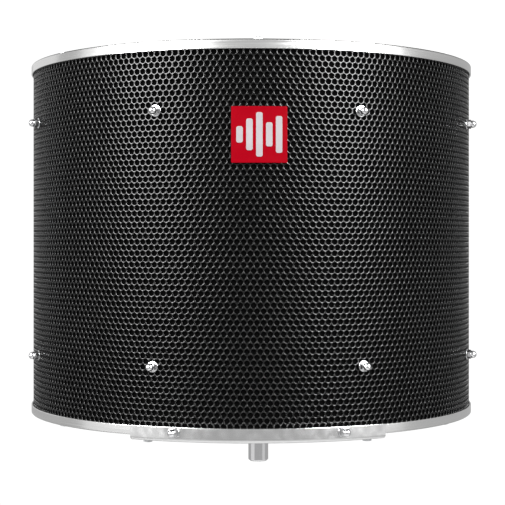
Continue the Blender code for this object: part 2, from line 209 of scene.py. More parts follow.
def pick_edges(piece, wanted):
    bpy.ops.mesh.select_mode(type="EDGE")
    bpy.ops.mesh.select_all(action="DESELECT")
    mesh = bmesh.from_edit_mesh(piece.data)
    for edge in mesh.edges:
        edge.select = wanted(edge)
    mesh.select_flush_mode()
    bmesh.update_edit_mesh(piece.data)


def pick_faces(piece, wanted):
    bpy.ops.mesh.select_mode(type="FACE")
    bpy.ops.mesh.select_all(action="DESELECT")
    mesh = bmesh.from_edit_mesh(piece.data)
    mesh.faces.ensure_lookup_table()
    for face in mesh.faces:
        face.select = wanted(face)
    mesh.select_flush_mode()
    bmesh.update_edit_mesh(piece.data)


def smooth_under(piece, degrees):
    only(piece)
    bpy.ops.object.shade_smooth_by_angle(angle=math.radians(degrees))


def smooth_flats(piece, degrees):
    """Smooth the rounded edges only: the broad faces between them stay flat to the light."""
    smooth_under(piece, degrees)
    modify(piece, "WEIGHTED_NORMAL", keep_sharp=True)


def hole_cell(name, x):
    """One flat hexagon with a round hole, facing -Y, its centre at x in the first row."""
    bpy.ops.object.select_all(action="DESELECT")
    centre = (x, 0.0, first_row)
    upright = (math.radians(90.0), 0.0, 0.0)
    bpy.ops.mesh.primitive_circle_add(
        vertices=12, radius=hole_radius, location=centre, rotation=upright
    )
    cell = added(name)
    rim = cell.vertex_groups.new(name="rim")
    rim.add(range(12), 1.0, "REPLACE")
    edit(cell)
    bpy.ops.mesh.select_all(action="SELECT")
    bpy.ops.mesh.extrude_edges_move()
    bpy.ops.object.vertex_group_remove_from()
    grow = hole_pitch / 2 / hole_radius
    bpy.ops.transform.resize(value=(grow, 1.0, grow), center_override=centre)
    is_corner = lambda co: (
        (co - Vector(centre)).length > hole_pitch / 2 - hair
        and round(math.degrees(math.atan2(co.x - x, co.z - first_row))) % 60 == 0
    )
    pick_verts(cell, is_corner)
    grow = 2 / math.sqrt(3.0)
    bpy.ops.transform.resize(value=(grow, 1.0, grow), center_override=centre)
    bpy.ops.mesh.select_all(action="SELECT")
    mesh = bmesh.from_edit_mesh(cell.data)
    mesh.faces.ensure_lookup_table()
    if mesh.faces[0].normal.y > 0:
        bpy.ops.mesh.flip_normals()
    return done()


def repeat(piece, count, x, z):
    """Copies in a row, joined where they touch."""
    modify(
        piece,
        "ARRAY",
        count=count,
        use_relative_offset=False,
        use_constant_offset=True,
        constant_offset_displace=(x, 0.0, z),
        use_merge_vertices=True,
        merge_threshold=hair,
    )


def open_edges(piece, wanted):
    """Select the open edges that aren't part of a hole's rim."""
    rim = piece.vertex_groups["rim"].index
    layer = bmesh.from_edit_mesh(piece.data).verts.layers.deform.active

    def is_open(edge):
        if not edge.is_boundary or not wanted(*(vert.co for vert in edge.verts)):
            return False
        return not all(rim in vert[layer] for vert in edge.verts)

    pick_edges(piece, is_open)


def plain_margin(piece, wanted, flatten, line):
    """Run the chosen zigzag border out to a straight line."""
    open_edges(piece, wanted)
    bpy.ops.mesh.extrude_edges_move()
    bpy.ops.transform.resize(value=flatten, center_override=line)


def soften_rims(piece, depth):
    """Round the holes' rims in the flat plane at this depth, as thick paint does."""
    edit(piece)
    rim = piece.vertex_groups["rim"].index
    layer = bmesh.from_edit_mesh(piece.data).verts.layers.deform.active
    at_rim = lambda vert: abs(vert.co.y - depth) < hair and rim in vert[layer]
    pick_edges(piece, lambda edge: all(at_rim(vert) for vert in edge.verts))
    bpy.ops.mesh.bevel(offset=rim_ease, segments=1, affect="EDGES")
    done()


def perforated_strip(name, radius, half_length, low, high, start, columns, ends, shown):
    """Columns of holes from x = start; ends names the sides that reach the sheet's own ends."""
    strip = hole_cell(name, start)
    repeat(strip, 2, hole_pitch / 2, row_step)
    repeat(strip, row_pairs, 0.0, 2 * row_step)
    repeat(strip, columns, hole_pitch, 0.0)
    edit(strip)
    above = last_row + hole_pitch / 4
    below = first_row - hole_pitch / 4
    near_left = start + hair
    near_right = start + (columns - 0.5) * hole_pitch - hair
    inside = lambda a, b: low + hair < (a.z + b.z) / 2 < high - hair
    plain_margin(strip, lambda a, b: min(a.z, b.z) > above, (1, 1, 0), (0, 0, high))
    plain_margin(strip, lambda a, b: max(a.z, b.z) < below, (1, 1, 0), (0, 0, low))
    if "left" in ends:
        left = lambda a, b: max(a.x, b.x) < near_left and inside(a, b)
        plain_margin(strip, left, (0, 1, 1), (-half_length, 0, 0))
    if "right" in ends:
        right = lambda a, b: min(a.x, b.x) > near_right and inside(a, b)
        plain_margin(strip, right, (0, 1, 1), (half_length, 0, 0))
    strip = done()
    modify(strip, "SOLIDIFY", thickness=sheet_thick, offset=-1.0)
    soften_rims(strip, shown)
    strip.vertex_groups.clear()
    spans = [vert.co.x for vert in strip.data.vertices]
    turn = (max(spans) - min(spans)) / radius
    modify(strip, "SIMPLE_DEFORM", deform_method="BEND", deform_axis="Z", angle=turn)
    strip.data.transform(Matrix.Translation((0.0, axis_y - radius, 0.0)))
    smooth_under(strip, 60.0)
    return strip


def perforated_sheet(node, radius, widths, shift, shown):
    """A bent perforated sheet, in strips of these many columns; shown is its seen face's depth."""
    low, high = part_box(node)[0].z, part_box(node)[1].z
    half_length = math.pi * radius / 2 - (axis_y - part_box(node)[1].y)
    start = -(sum(widths) - 0.5) / 2 * hole_pitch + shift
    for count, columns in enumerate(widths, 1):
        ends = {1: "left", len(widths): "right"}.get(count, "")
        name = f"{node}_strip_{count}"
        strip = perforated_strip(
            name, radius, half_length, low, high, start, columns, ends, shown
        )
        start += columns * hole_pitch
        strip.data.materials.clear()
        strip.data.materials.append(black_coat)
        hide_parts(node)
        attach(strip, "shield")


def group_socket(group, name, way, kind, value=None):
    socket = group.interface.new_socket(name=name, in_out=way, socket_type=kind)
    if value is not None:
        socket.default_value = value


def fine_patches():
    """Soft irregular patches: Value runs from Low to High. Used for wear, dust and cast."""
    group = bpy.data.node_groups.new("fine_patches", "ShaderNodeTree")
    group_socket(group, "Vector", "INPUT", "NodeSocketVector")
    for name, value in (("Scale", 20.0), ("Low", 0.0), ("High", 1.0), ("Detail", 4.0)):
        group_socket(group, name, "INPUT", "NodeSocketFloat", value)
    group_socket(group, "Value", "OUTPUT", "NodeSocketFloat")
    nodes, link = group.nodes, group.links.new
    start = nodes.new("NodeGroupInput")
    end = nodes.new("NodeGroupOutput")
    noise = nodes.new("ShaderNodeTexNoise")
    span = nodes.new("ShaderNodeMapRange")
    span.inputs["From Min"].default_value = 0.3
    span.inputs["From Max"].default_value = 0.7
    link(start.outputs["Vector"], noise.inputs["Vector"])
    link(start.outputs["Scale"], noise.inputs["Scale"])
    link(start.outputs["Detail"], noise.inputs["Detail"])
    link(noise.outputs["Fac"], span.inputs["Value"])
    link(start.outputs["Low"], span.inputs["To Min"])
    link(start.outputs["High"], span.inputs["To Max"])
    link(span.outputs["Result"], end.inputs["Value"])
    return group


patches = fine_patches()


class Finish:
    """A material under construction: its Principled shader, and short ways to wire it."""

    def __init__(self, name, colour, roughness, metallic):
        self.material = bpy.data.materials.new(name)
        self.material.use_nodes = True
        self.nodes = self.material.node_tree.nodes
        self.link = self.material.node_tree.links.new
        self.shader = self.nodes["Principled BSDF"]
        self.shader.inputs["Base Color"].default_value = (*colour, 1.0)
        self.shader.inputs["Roughness"].default_value = roughness
        self.shader.inputs["Metallic"].default_value = metallic
        self.place = self.nodes.new("ShaderNodeTexCoord").outputs["Object"]

    def add(self, kind, **inputs):
        node = self.nodes.new(kind)
        for name, value in inputs.items():
            socket = node.inputs[name.replace("_", " ")]
            if isinstance(value, bpy.types.NodeSocket):
                self.link(value, socket)
            else:
                socket.default_value = value
        return node

    def group(self, tree, **inputs):
        node = self.nodes.new("ShaderNodeGroup")
        node.node_tree = tree
        for name, value in inputs.items():
            socket = node.inputs[name.replace("_", " ")]
            if isinstance(value, bpy.types.NodeSocket):
                self.link(value, socket)
            else:
                socket.default_value = value
        return node

    def patches(self, scale, low, high, detail=4.0, place=None):
        place = self.place if place is None else place
        return self.group(
            patches, Vector=place, Scale=scale, Low=low, High=high, Detail=detail
        ).outputs["Value"]

    def stretched(self, x, y, z):
        """The coordinates, stretched so that a pattern runs along the axis with the small value."""
        return self.add("ShaderNodeMapping", Vector=self.place, Scale=(x, y, z)).outputs["Vector"]

    def bump(self, height, distance, strength=1.0):
        node = self.add("ShaderNodeBump", Height=height, Distance=distance, Strength=strength)
        self.link(node.outputs["Normal"], self.shader.inputs["Normal"])

    def blend(self, factor, first, second):
        mix = self.nodes.new("ShaderNodeMix")
        mix.data_type = "RGBA"
        self.link(factor, mix.inputs["Factor"])
        mix.inputs[6].default_value = (*first, 1.0)
        mix.inputs[7].default_value = (*second, 1.0)
        self.link(mix.outputs[2], self.shader.inputs["Base Color"])

    def roughness(self, value):
        self.link(value, self.shader.inputs["Roughness"])


def powder_coat():
    """Satin black powder coat: a fine pebbled skin, with a little more sheen in some patches."""
    finish = Finish("black_powder_coat", (0.004, 0.004, 0.0042), 0.26, 0.0)
    finish.shader.inputs["Specular IOR Level"].default_value = 0.3
    pebble = finish.add("ShaderNodeTexNoise", Vector=finish.place, Scale=1500.0, Detail=2.0)
    finish.bump(pebble.outputs["Fac"], 0.00002, 0.6)
    finish.roughness(finish.patches(60.0, 0.20, 0.27))
    finish.blend(finish.patches(25.0, 0.0, 1.0), (0.003, 0.003, 0.0032), (0.005, 0.005, 0.0053))
    return finish.material


black_coat = powder_coat()
perforated_sheet("outer_grille", outer_sheet_radius, (29, 30, 30, 29), -0.00045, 0.0)
perforated_sheet("inner_grille", inner_sheet_radius, (29, 30, 29), 0.0, sheet_thick)

# Wool blankets: thin one right behind the outer sheet, thick one behind the inner sheet. Black
# needled felt, cut square and bent with the sheets; its face is matt, uneven and fibrous.


def wool_felt():
    """Black felt: clumped short fibres, almost no shine, a faint grey fuzz."""
    finish = Finish("black_wool_felt", (0.0035, 0.0035, 0.0035), 0.95, 0.0)
    finish.shader.inputs["Specular IOR Level"].default_value = 0.02
    fibres = finish.add("ShaderNodeTexNoise", Vector=finish.stretched(1.0, 1.0, 3.0), Scale=900.0)
    fibres.inputs["Detail"].default_value = 6.0
    fibres.inputs["Distortion"].default_value = 2.5
    finish.bump(fibres.outputs["Fac"], 0.0002)
    finish.blend(fibres.outputs["Fac"], (0.001, 0.001, 0.001), (0.006, 0.006, 0.006))
    finish.roughness(finish.patches(200.0, 0.86, 1.0))
    return finish.material


felt = wool_felt()


def wool_blanket(node, radius, thick):
    low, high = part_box(node)
    reach = math.asin((axis_y - high.y) / (radius - thick))
    length = (math.pi - 2 * reach) * radius
    bpy.ops.object.select_all(action="DESELECT")
    bpy.ops.mesh.primitive_grid_add(
        x_subdivisions=200,
        y_subdivisions=110,
        size=1.0,
        location=(0.0, 0.0, (low.z + high.z) / 2),
        rotation=(math.radians(90.0), 0.0, 0.0),
    )
    blanket = sized(f"{node}_felt", length, high.z - low.z, 1.0)
    modify(blanket, "SOLIDIFY", thickness=thick, offset=-1.0)
    modify(blanket, "SIMPLE_DEFORM", deform_method="BEND", deform_axis="Z", angle=length / radius)
    blanket.data.transform(Matrix.Translation((0.0, axis_y - radius, 0.0)))
    clumps = bpy.data.textures.new(f"{node}_clumps", "CLOUDS")
    clumps.noise_scale = 0.006
    modify(blanket, "DISPLACE", texture=clumps, strength=0.0004, mid_level=0.8)
    smooth_under(blanket, 40.0)
    blanket.data.materials.append(felt)
    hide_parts(node)
    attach(blanket, "shield")


wool_blanket("outer_wool", 0.1997, 0.0072)
wool_blanket("inner_wool", 0.1707, 0.0204)

# Foil barrier: kitchen-thick aluminium foil between the wools, lightly crinkled. Hidden inside.


def crinkled_foil():
    finish = Finish("crinkled_foil", (0.84, 0.84, 0.85), 0.22, 1.0)
    folds = finish.add("ShaderNodeTexVoronoi", Vector=finish.place, Scale=140.0)
    folds.distance = "MINKOWSKI"
    finish.bump(folds.outputs["Distance"], 0.0006, 0.7)
    finish.roughness(finish.patches(50.0, 0.16, 0.32))
    return finish.material


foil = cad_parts["foil_barrier"]
foil.data.materials.clear()
foil.data.materials.append(crinkled_foil())

# Trays: polished aluminium, pressed to a curved box 7.8 mm deep that holds the sheets' edges.
# The block is swept, its open side inset by the wall, pushed in, and the rims eased.
tray_wall = 0.0015
tray_fold = 0.0011
rim_round = 0.0005
inner_tray_radius = 0.147
rod_hole_radius = 0.0023
neck_hole_radius = 0.0044
side_rods = [(0.190, turn) for turn in (-59.5, -27.9, 27.9, 59.5)]
middle_rod = (axis_y, 0.0)
round_steps = 128


def at_arc(radius, degrees, z):
    """The point at this radius; 0 degrees is straight ahead, on the rounded side."""
    turn = math.radians(degrees)
    return Vector((radius * math.sin(turn), axis_y - radius * math.cos(turn), z))


def block_outline(name, near, far, low, high):
    """An upright rectangle at the front of the arc, from radius near to far."""
    bpy.ops.object.select_all(action="DESELECT")
    bpy.ops.mesh.primitive_plane_add(
        size=1.0,
        location=(0.0, axis_y - (near + far) / 2, (low + high) / 2),
        rotation=(0.0, math.radians(90.0), 0.0),
    )
    return sized(name, high - low, far - near, 1.0)


def sweep(piece, half_angle, steps):
    """Spin the outline round the arc's axis and centre the arc on the front."""
    edit(piece)
    bpy.ops.mesh.select_all(action="SELECT")
    bpy.ops.mesh.spin(
        steps=steps,
        angle=math.radians(2 * half_angle),
        center=(0.0, axis_y, 0.0),
        axis=(0.0, 0.0, 1.0),
    )
    bpy.ops.mesh.select_all(action="SELECT")
    bpy.ops.mesh.remove_doubles(threshold=hair)
    bpy.ops.mesh.normals_make_consistent(inside=False)
    piece = done()
    lean = sum(vert.co.x for vert in piece.data.vertices)
    back = math.radians(half_angle if lean < 0 else -half_angle)
    centre = Matrix.Translation((0.0, axis_y, 0.0))
    piece.data.transform(centre @ Matrix.Rotation(back, 4, "Z") @ centre.inverted())
    return piece


def cut_away(piece, cutter, operation="DIFFERENCE"):
    modify(piece, "BOOLEAN", object=cutter, operation=operation, solver="EXACT")
    bpy.data.objects.remove(cutter, do_unlink=True)


def rod_drill(radius, rod, low, high):
    bpy.ops.object.select_all(action="DESELECT")
    bpy.ops.mesh.primitive_cylinder_add(
        vertices=32,
        radius=radius,
        depth=high - low,
        location=at_arc(*rod, (low + high) / 2),
    )
    return added("drill")


def brush_lines():
    """Fine lines left by polishing: streaks across the vector's fast axis, from 0 to 1."""
    group = bpy.data.node_groups.new("brush_lines", "ShaderNodeTree")
    group_socket(group, "Vector", "INPUT", "NodeSocketVector")
    group_socket(group, "Fineness", "INPUT", "NodeSocketFloat", 1.0)
    group_socket(group, "Lines", "OUTPUT", "NodeSocketFloat")
    nodes, link = group.nodes, group.links.new
    start = nodes.new("NodeGroupInput")
    end = nodes.new("NodeGroupOutput")
    coarse = nodes.new("ShaderNodeTexNoise")
    coarse.inputs["Detail"].default_value = 5.0
    coarse.inputs["Roughness"].default_value = 0.65
    link(start.outputs["Vector"], coarse.inputs["Vector"])
    link(start.outputs["Fineness"], coarse.inputs["Scale"])
    link(coarse.outputs["Fac"], end.inputs["Lines"])
    return group


lines = brush_lines()


def polished_aluminium(name):
    """Bright aluminium, buffed along the rim: faint long lines and a soft, uneven gloss."""
    finish = Finish(name, (0.87, 0.87, 0.865), 0.2, 1.0)
    along = finish.stretched(14.0, 14.0, 1800.0)
    buffed = finish.group(lines, Vector=along, Fineness=1.0).outputs["Lines"]
    finish.bump(buffed, 0.000006, 0.5)
    finish.roughness(finish.patches(1.0, 0.15, 0.26, place=along))
    finish.blend(finish.patches(9.0, 0.0, 1.0), (0.84, 0.84, 0.835), (0.90, 0.90, 0.895))
    return finish


def paint_shade_on_upper_fold(finish, shade):
    """Painted shade: darken the colour where the metal turns from upright to level, along the fold.
    """
    facing = finish.add("ShaderNodeNewGeometry").outputs["Normal"]
    slope = finish.add("ShaderNodeSeparateXYZ", Vector=facing).outputs["Z"]
    fold = finish.add("ShaderNodeValToRGB", Fac=slope)
    ramp = fold.color_ramp.elements
    ramp[0].position = 0.15
    ramp[0].color = (1.0, 1.0, 1.0, 1.0)
    for place, value in ((0.28, shade), (0.9, shade), (0.98, 1.0)):
        ramp.new(place).color = (value, value, value, 1.0)
    colour = finish.shader.inputs["Base Color"]
    buffed = colour.links[0].from_socket
    dimmed = finish.add("ShaderNodeHueSaturation", Color=buffed, Value=fold.outputs["Color"])
    finish.link(dimmed.outputs["Color"], colour)


bottom_polish = polished_aluminium("polished_aluminium")
top_polish = polished_aluminium("polished_aluminium_painted_fold_shade")
# The top tray's fold gets painted shade: its colour is dimmed to 0.12 along the fold.
paint_shade_on_upper_fold(top_polish, 0.12)


def tray(node, name, open_side, polish):
    """open_side is +1 where the tray opens upwards and -1 where it opens downwards."""
    low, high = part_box(node)[0].z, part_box(node)[1].z
    piece = block_outline(name, inner_tray_radius, panel_radius, low, high)
    piece = sweep(piece, 90.0, round_steps)
    edit(piece)
    pick_faces(piece, lambda face: face.calc_center_median().y > axis_y - hair)
    bpy.ops.mesh.extrude_region_move(TRANSFORM_OT_translate={"value": (0.0, tray_wall, 0.0)})
    pick_faces(piece, lambda face: face.normal.z * open_side > 0.9)
    bpy.ops.mesh.inset(thickness=tray_wall, use_even_offset=True)
    depth = (high - low - tray_wall) * open_side
    bpy.ops.mesh.extrude_region_move(TRANSFORM_OT_translate={"value": (0.0, 0.0, -depth)})
    bpy.ops.mesh.select_all(action="SELECT")
    bpy.ops.mesh.remove_doubles(threshold=hair)
    bpy.ops.mesh.normals_make_consistent(inside=False)
    closed = low if open_side > 0 else high
    outer = lambda co: math.hypot(co.x, min(co.y - axis_y, 0.0)) > panel_radius - 0.0005
    folded = lambda vert: abs(vert.co.z - closed) < hair and outer(vert.co)
    pick_edges(piece, lambda edge: all(folded(vert) for vert in edge.verts))
    bpy.ops.mesh.bevel(offset=tray_fold, segments=5, affect="EDGES")
    piece = done()
    modify(
        piece,
        "BEVEL",
        width=rim_round,
        segments=3,
        limit_method="ANGLE",
        angle_limit=math.radians(60.0),
    )
    for rod in (*side_rods, middle_rod):
        radius = neck_hole_radius if open_side > 0 and rod == middle_rod else rod_hole_radius
        cut_away(piece, rod_drill(radius, rod, low - 0.002, high + 0.002))
    smooth_flats(piece, 35.0)
    piece.data.materials.append(polish.material)
    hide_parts(node)
    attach(piece, "shield")


tray("top_cap", "top_tray", -1, top_polish)
tray("bottom_cap", "bottom_tray", 1, bottom_polish)

# End channels: U strips folded from 1.5 mm steel and coated black, standing between the two
# perforated sheets with their backs outwards. Swept up from a flat plate, with rounded folds.


def end_channel(node):
    low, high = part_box(node)
    fold = 0.0015
    bpy.ops.object.select_all(action="DESELECT")
    bpy.ops.mesh.primitive_cube_add(size=1.0, location=(low + high) / 2)
    piece = sized(f"{node}_fold", *(high - low))
    edit(piece)
    pick_faces(piece, lambda face: face.normal.z > 0.9 or face.normal.z < -0.9)
    bpy.ops.mesh.delete(type="FACE")
    pick_faces(piece, lambda face: face.normal.y < -0.9)
    bpy.ops.mesh.delete(type="FACE")
    at_back = lambda edge: all(vert.co.y > high.y - hair for vert in edge.verts)
    upright = lambda edge: abs(edge.verts[0].co.z - edge.verts[1].co.z) > 0.1
    pick_edges(piece, lambda edge: at_back(edge) and upright(edge))
    bpy.ops.mesh.bevel(offset=0.0022, segments=6, affect="EDGES")
    piece = done()
    modify(piece, "SOLIDIFY", thickness=fold, offset=-1.0, use_even_offset=True)
    modify(piece, "BEVEL", width=0.0002, segments=2, angle_limit=math.radians(60.0))
    smooth_flats(piece, 35.0)
    piece.data.materials.append(black_coat)
    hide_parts(node)
    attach(piece, "shield")


end_channel("left_end_channel")
end_channel("right_end_channel")

# Stand bracket: a chromed angle of 3 mm steel, rolled to the tray's curve. Its plate lies under
# the tray, its lip stands up over the tray's front, and the bend between them is round.
bracket_half_angle = 29.9
bracket_inner_radius = 0.168
bracket_wall = 0.003
bracket_outer_bend = 0.0029
bracket_inner_bend = 0.0005
bracket_steps = 62
close = 0.0001


def plated(name, colour, low, high, line_scale):
    """Bright plating: mirror-like, with faint buffing lines and a few duller patches."""
    finish = Finish(name, colour, low, 1.0)
    along = finish.stretched(*line_scale)
    buffed = finish.group(lines, Vector=along, Fineness=1.0).outputs["Lines"]
    finish.bump(buffed, 0.000005, 0.4)
    finish.roughness(finish.patches(160.0, low, high))
    return finish.material


chrome_sheet = plated("chromed_sheet", (0.80, 0.80, 0.80), 0.14, 0.24, (14.0, 14.0, 1500.0))
chrome = plated("bright_chrome", (0.82, 0.82, 0.83), 0.05, 0.12, (300.0, 300.0, 60.0))


def bracket():
    low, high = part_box("stand_bracket")
    reach = axis_y - low.y
    lip = reach - bracket_wall
    plate_top = low.z + bracket_wall
    piece = block_outline(
        "stand_bracket_angle", bracket_inner_radius, lip, low.z, plate_top
    )
    edit(piece)
    at_front = lambda edge: all(vert.co.y < axis_y - lip + hair for vert in edge.verts)
    pick_edges(piece, at_front)
    bpy.ops.mesh.extrude_edges_move(TRANSFORM_OT_translate={"value": (0.0, -bracket_wall, 0.0)})
    over = lambda edge: all(
        vert.co.z > plate_top - hair and vert.co.y < axis_y - lip + hair for vert in edge.verts
    )
    pick_edges(piece, over)
    rise = (0.0, 0.0, high.z - plate_top)
    bpy.ops.mesh.extrude_edges_move(TRANSFORM_OT_translate={"value": rise})
    done()
    piece = sweep(piece, bracket_half_angle, bracket_steps)
    edit(piece)
    radius_of = lambda co: math.hypot(co.x, axis_y - co.y)
    at_bend = lambda co: radius_of(co) > reach - close and co.z < low.z + close
    in_bend = lambda co: abs(radius_of(co) - lip) < close and abs(co.z - plate_top) < close
    across = lambda edge: (edge.verts[0].co - edge.verts[1].co).length > 0.003
    pick_edges(piece, lambda edge: across(edge) and all(at_bend(v.co) for v in edge.verts))
    bpy.ops.mesh.bevel(offset=bracket_outer_bend, segments=8, affect="EDGES")
    pick_edges(piece, lambda edge: across(edge) and all(in_bend(v.co) for v in edge.verts))
    bpy.ops.mesh.bevel(offset=bracket_inner_bend, segments=3, affect="EDGES")
    piece = done()
    modify(piece, "BEVEL", width=0.00025, segments=2, angle_limit=math.radians(60.0))
    drill_low, drill_high = low.z - 0.002, plate_top + 0.002
    cut_away(piece, rod_drill(neck_hole_radius, middle_rod, drill_low, drill_high))
    for rod in side_rods[1:3]:
        cut_away(piece, rod_drill(rod_hole_radius, rod, drill_low, drill_high))
    smooth_flats(piece, 35.0)
    piece.data.materials.append(chrome_sheet)
    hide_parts("stand_bracket")
    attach(piece, "shield")


bracket()

# Fasteners, each turned or cut from bar and then copied. A nut's body is a hexagon with its
# corners turned off; cap nuts carry a polished dome; flange nuts a washer-like foot.
nut_across = 0.007
nut_height = 0.0032
thin_nut_height = 0.0022
washer_radius = 0.0045
washer_thick = 0.0008
thread_radius = 0.002
thread_depth = 0.0004
thread_step = 0.0007
rod_thread = 0.012
bolt_thread = 0.010
nut_grip = 0.005
dome_height = 0.008
dome_radius = 0.00325


def turned(name, outline, sides, ring=False):
    """Turn an outline of (radius, height) about Z, one extruded ring after another."""
    bpy.ops.object.select_all(action="DESELECT")
    radius, height = outline[0]
    bpy.ops.mesh.primitive_circle_add(vertices=sides, radius=radius, location=(0, 0, height))
    piece = added(name)
    edit(piece)
    bpy.ops.mesh.select_all(action="SELECT")
    for next_radius, next_height in outline[1:] + (outline[:1] if ring else []):
        rise = {"value": (0.0, 0.0, next_height - height)}
        bpy.ops.mesh.extrude_edges_move(TRANSFORM_OT_translate=rise)
        grow = next_radius / radius
        if abs(grow - 1.0) > 1e-6:
            centre = (0.0, 0.0, next_height)
            bpy.ops.transform.resize(value=(grow, grow, 1.0), center_override=centre)
        radius, height = next_radius, next_height
    bpy.ops.mesh.select_all(action="SELECT")
    bpy.ops.mesh.remove_doubles(threshold=hair / 10)
    if not ring:
        bpy.ops.mesh.select_all(action="SELECT")
        bpy.ops.mesh.fill_holes(sides=0)
    bpy.ops.mesh.select_all(action="SELECT")
    bpy.ops.mesh.normals_make_consistent(inside=False)
    return done()


def round_corner(radius, height, size, first, last, steps=4):
    """Points of a rounded corner: a quarter or less of a circle about (radius, height)."""
    points = []
    for step in range(steps + 1):
        turn = math.radians(first + (last - first) * step / steps)
        points.append((radius + size * math.cos(turn), height + size * math.sin(turn)))
    return points


def hexagon_bar(across, low, high):
    bpy.ops.object.select_all(action="DESELECT")
    bpy.ops.mesh.primitive_cylinder_add(
        vertices=6,
        radius=across / math.sqrt(3.0),
        depth=high - low,
        location=(0.0, 0.0, (low + high) / 2),
    )
    return added("hexagon_bar")


def nut_body(name, across, low, high):
    """A hexagon between two heights with its corners turned off at 30 degrees."""
    corner = across / math.sqrt(3.0)
    flat = across / 2
    ease = 0.0001
    outside = corner + 0.0005
    drop = (corner - flat) * math.tan(math.radians(30.0)) + ease
    outline = [(flat - ease, low), (outside, low + drop)]
    outline += [(outside, high - drop), (flat - ease, high)]
    blank = turned(name, outline, 48)
    cut_away(blank, hexagon_bar(across, low - 0.001, high + 0.001), "INTERSECT")
    return blank


def thread_rings(low, high):
    """The saw-tooth outline of a thread, up from low to high."""
    points = []
    height = low
    while height + thread_step < high:
        points.append((thread_radius - thread_depth, height))
        points.append((thread_radius, height + thread_step / 2))
        height += thread_step
    return points + [(thread_radius - thread_depth, height)]


def copies(master, name, places, node_names, finish, body):
    """Copy a finished piece, each copy with its own mesh, and stand each for its CAD node."""
    for count, (place, node) in enumerate(zip(places, node_names), 1):
        piece = bpy.data.objects.new(f"{name}_{count}", master.data.copy())
        scene.collection.objects.link(piece)
        piece.data.transform(place)
        piece.data.materials.clear()
        piece.data.materials.append(finish)
        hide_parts(node)
        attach(piece, body)
    bpy.data.objects.remove(master, do_unlink=True)


def radial(radius, degrees, z):
    """A place whose +Z points straight out of the round sheet and whose +Y points up."""
    turn = Matrix.Rotation(math.radians(degrees), 4, "Z")
    return Matrix.Translation(at_arc(radius, degrees, z)) @ turn @ Matrix.Rotation(
        math.radians(90.0), 4, "X"
    )


def upright(rod, z):
    return Matrix.Translation(at_arc(*rod, z))


gap = 0.0003
bolt_rise = 0.1021
stud_height = panel_low + 0.0045
bolt_spots = [(turn, panel_middle - bolt_rise) for turn in (-69.75, -24.75, 24.75, 69.75)]
bolt_spots += [(turn, panel_middle + bolt_rise) for turn in (-69.75, -24.0, 24.0, 69.75)]
stud_spots = [(-19.0, stud_height), (19.0, stud_height)]
washer_seat = outer_sheet_radius + gap
nut_seat = washer_seat + washer_thick + gap
lip_washer_seat = axis_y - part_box("stand_bracket")[0].y + gap
lip_nut_seat = lip_washer_seat + washer_thick + gap


def dome_nut():
    """An acorn nut: chamfered hexagon, a short neck, and a polished dome."""
    spring = dome_height - dome_radius
    outline = [(dome_radius, nut_height - 0.0005), (dome_radius, spring)]
    outline += round_corner(0.0, spring, dome_radius, 0.0, 84.0, 9)[1:]
    dome = turned("dome", outline, 40)
    nut = nut_body("dome_nut", nut_across, 0.0, nut_height)
    cut_away(nut, dome, "UNION")
    smooth_flats(nut, 32.0)
    return nut


def washer(radius, hole, thick):
    ease = 0.00012
    outline = [(hole, 0.0), (radius - ease, 0.0), (radius, ease)]
    outline += [(radius, thick - ease), (radius - ease, thick), (hole, thick)]
    piece = turned("washer", outline, 48, ring=True)
    smooth_flats(piece, 50.0)
    return piece


dome_places = [radial(nut_seat, *spot) for spot in bolt_spots]
dome_nodes = [f"dome_nut_{count}" for count in range(1, 9)]
dome_places += [radial(lip_nut_seat, *spot) for spot in stud_spots]
dome_nodes += ["left_bracket_dome_nut", "right_bracket_dome_nut"]
copies(dome_nut(), "cap_nut", dome_places, dome_nodes, chrome, "shield")

washer_places = [radial(washer_seat, *spot) for spot in bolt_spots]
washer_nodes = [f"dome_washer_{count}" for count in range(1, 9)]
washer_places += [radial(lip_washer_seat, *spot) for spot in stud_spots]
washer_nodes += ["left_bracket_washer", "right_bracket_washer"]
plain_washer = washer(washer_radius, rod_hole_radius, washer_thick)
copies(plain_washer, "cap_nut_washer", washer_places, washer_nodes, chrome, "shield")

# Zinc-plated steel: rods, flange nuts, and the button-head bolts seen on the hollow side.


def zinc_plate():
    """Zinc: a soft grey shine with a faint crystalline mottle."""
    finish = Finish("zinc_plated_steel", (0.60, 0.61, 0.62), 0.3, 1.0)
    finish.roughness(finish.patches(400.0, 0.24, 0.38))
    finish.blend(finish.patches(250.0, 0.0, 1.0), (0.54, 0.55, 0.56), (0.66, 0.67, 0.68))
    grain = finish.add("ShaderNodeTexNoise", Vector=finish.place, Scale=3000.0)
    finish.bump(grain.outputs["Fac"], 0.00001, 0.4)
    return finish.material


zinc = zinc_plate()


def flange_nut():
    """A hexagon nut on a broad foot, open through the middle."""
    top = washer_thick + thin_nut_height
    foot = [(thread_radius, 0.0), (washer_radius - 0.0001, 0.0), (washer_radius, 0.00015)]
    foot += [(washer_radius, 0.0005), (nut_across / 2 + 0.0003, washer_thick)]
    foot += [(thread_radius, washer_thick)]
    nut = turned("flange_nut", foot, 48, ring=True)
    cut_away(nut, nut_body("nut_body", nut_across, washer_thick - 0.0003, top), "UNION")
    bore = turned("bore", [(rod_hole_radius, -0.001), (rod_hole_radius, top + 0.001)], 32)
    cut_away(nut, bore)
    smooth_flats(nut, 32.0)
    return nut


